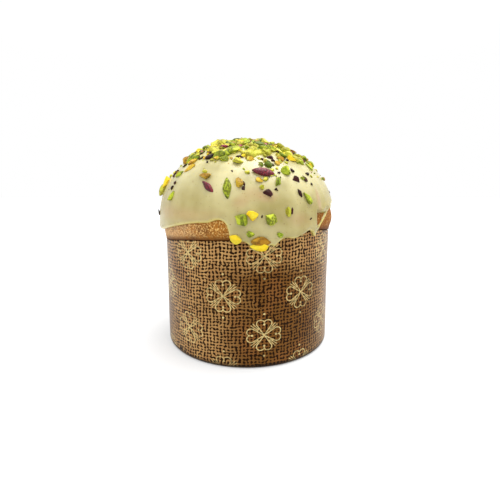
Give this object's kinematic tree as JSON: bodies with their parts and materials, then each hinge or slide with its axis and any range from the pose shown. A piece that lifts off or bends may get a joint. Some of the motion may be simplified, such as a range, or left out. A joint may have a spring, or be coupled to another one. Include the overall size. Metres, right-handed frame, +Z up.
{
  "type": "panettone",
  "caption": "Small iced panettone in its printed paper baking case: a dome of sweet bread risen over the rim, under poured pistachio icing strewn with chopped nuts.",
  "frame": {"origin": "middle of the baking case's foot, on the surface that it stands on", "axes": "+Z up through the crown; -Y is the front, where the icing runs down over the case; +X is to the right seen from the front"},
  "size_m": [0.1038, 0.1082, 0.1189],
  "materials": {
    "printed_paper": "brown paper printed with a coarse weave and gold four-petalled flowers, with a soft gloss",
    "bread_crust": null,
    "pistachio_icing": null,
    "green_pistachio": "chopped green pistachio with paler cut faces",
    "golden_pistachio": "chopped ripe pistachio, yellow to orange",
    "purple_pistachio": "pistachio kernel with its wrinkled purple skin",
    "dark_chip": "dark brown chip, dull"
  },
  "bodies": {
    "root": {"baking_case": "printed_paper", "bread": "bread_crust", "icing": "pistachio_icing"}
  },
  "joints": []
}
